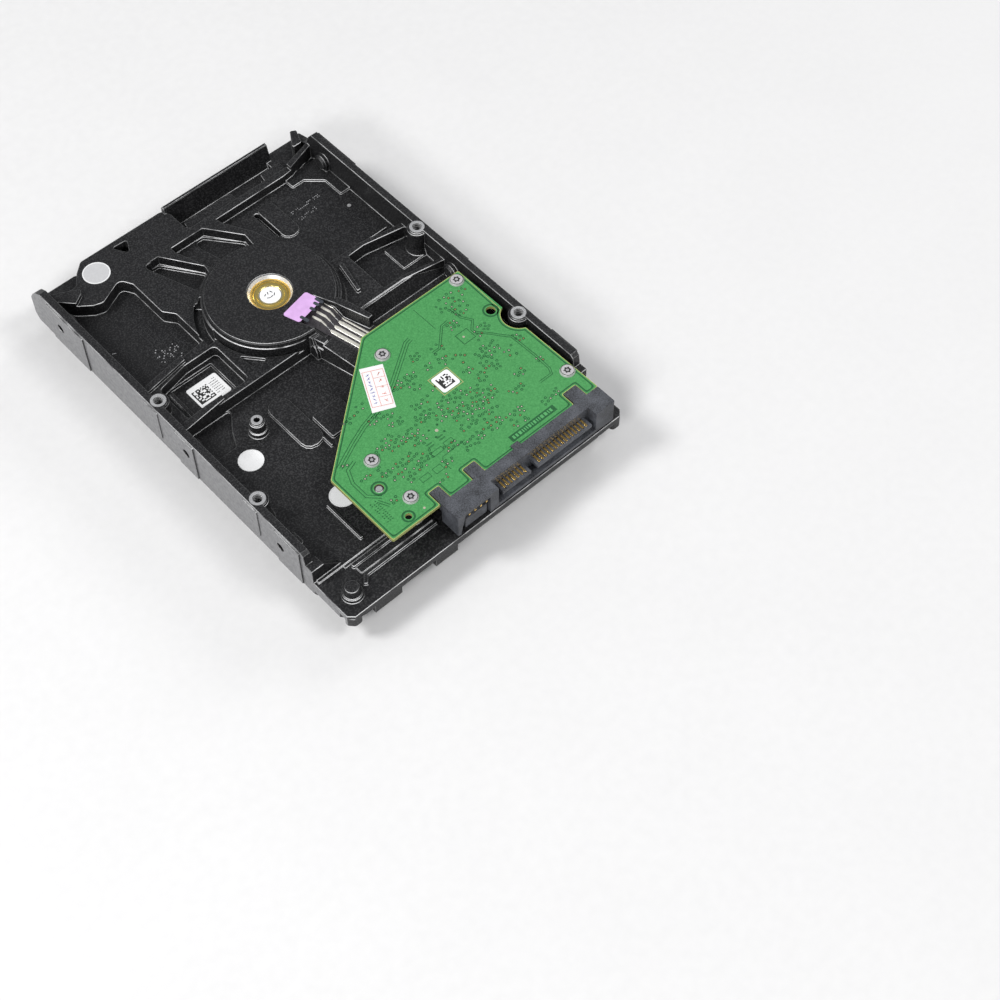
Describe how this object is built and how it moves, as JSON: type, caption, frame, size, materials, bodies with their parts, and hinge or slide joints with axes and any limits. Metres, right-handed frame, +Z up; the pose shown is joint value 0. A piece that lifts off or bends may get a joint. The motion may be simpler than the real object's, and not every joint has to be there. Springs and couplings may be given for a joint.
{
  "type": "hard disk drive",
  "caption": "Hard disk drive with a black cast base, green circuit board, edge connector and a disk with a swinging head actuator inside.",
  "frame": {"origin": "centre of the footprint, on the plane that the cover rests on", "axes": "+Z up from the cover to the circuit board side, -Y the connector end, +X the power side of the connector"},
  "size_m": [0.1016, 0.147, 0.0202],
  "materials": {
    "casting_black": "satin black coat on die-cast aluminium",
    "cover_steel": "brushed",
    "gasket_rubber": "matt",
    "screw_steel": "plated",
    "label_white": "matt",
    "seal_grey": "satin",
    "board_green": "solder mask",
    "chip_black": "moulded",
    "component_grey": "fired",
    "pad_pink": "soft",
    "housing_slate": "moulded",
    "contact_gold": "gold plated",
    "flex_amber": "polyimide film",
    "patch_lilac": "satin film",
    "sleeve_brass": "turned",
    "steel_bright": "ground",
    "core_steel": "laminated",
    "coil_copper": "enamelled copper wire",
    "aluminium_turned": "turned",
    "magnet_nickel": "nickel plated",
    "disk_mirror": "polished",
    "stop_rubber": "matt",
    "lever_plastic": "moulded",
    "ramp_plastic": "moulded",
    "filter_fabric": "fibre"
  },
  "bodies": {
    "drive": {"base_casting": "casting_black", "cover_gasket": "gasket_rubber", "top_cover": "cover_steel", "cover_screws": "screw_steel", "cover_label": "label_white", "breather_filter": "filter_fabric", "servo_access_seal": "seal_grey", "screw_seals": "label_white", "casting_label": "label_white", "circuit_board": "board_green", "board_screws": "screw_steel", "controller_chip": "chip_black", "memory_chip": "chip_black", "motor_driver_chip": "chip_black", "board_components": "component_grey", "thermal_pad": "pad_pink", "board_label": "label_white", "paper_sticker": "label_white", "sata_housing": "housing_slate", "sata_contacts": "contact_gold", "jumper_pins": "contact_gold", "motor_flex": "flex_amber", "flex_patch": "patch_lilac", "motor_contact_block": "chip_black", "bearing_sleeve": "sleeve_brass", "bearing_end_plate": "steel_bright", "motor_label": "label_white", "stator_core": "core_steel", "stator_coils": "coil_copper", "pivot_shaft": "steel_bright", "lower_yoke": "core_steel", "upper_yoke": "core_steel", "yoke_magnets": "magnet_nickel", "yoke_posts": "steel_bright", "crash_stops": "stop_rubber", "latch_pin": "steel_bright", "load_ramp": "ramp_plastic", "flex_bracket": "chip_black", "head_connector": "ramp_plastic", "recirculation_filter": "filter_fabric", "desiccant_pack": "filter_fabric"},
    "spindle": {"motor_shaft": "steel_bright", "spindle_hub": "aluminium_turned", "rotor_magnet": "chip_black", "disk": "disk_mirror", "disk_clamp": "steel_bright", "clamp_screws": "screw_steel"},
    "actuator": {"pivot_sleeve": "steel_bright", "arm_block": "aluminium_turned", "suspensions": "steel_bright", "sliders": "chip_black", "voice_coil": "coil_copper", "head_flex": "flex_amber"},
    "latch": {"latch_lever": "lever_plastic"}
  },
  "joints": [
    {"name": "spindle_spin", "type": "hinge", "parent": "drive", "child": "spindle", "pos_m": [0, 0.0224, 0.01], "axis": [0, 0, 1], "continuous": true},
    {"name": "actuator_swing", "type": "hinge", "parent": "drive", "child": "actuator", "pos_m": [-0.02, -0.0315, 0.0055], "axis": [0, 0, 1], "range_deg": [0, 32]},
    {"name": "latch_swing", "type": "hinge", "parent": "drive", "child": "latch", "pos_m": [-0.0426, -0.0216, 0.0054], "axis": [0, 0, 1], "range_deg": [0, 14]}
  ]
}
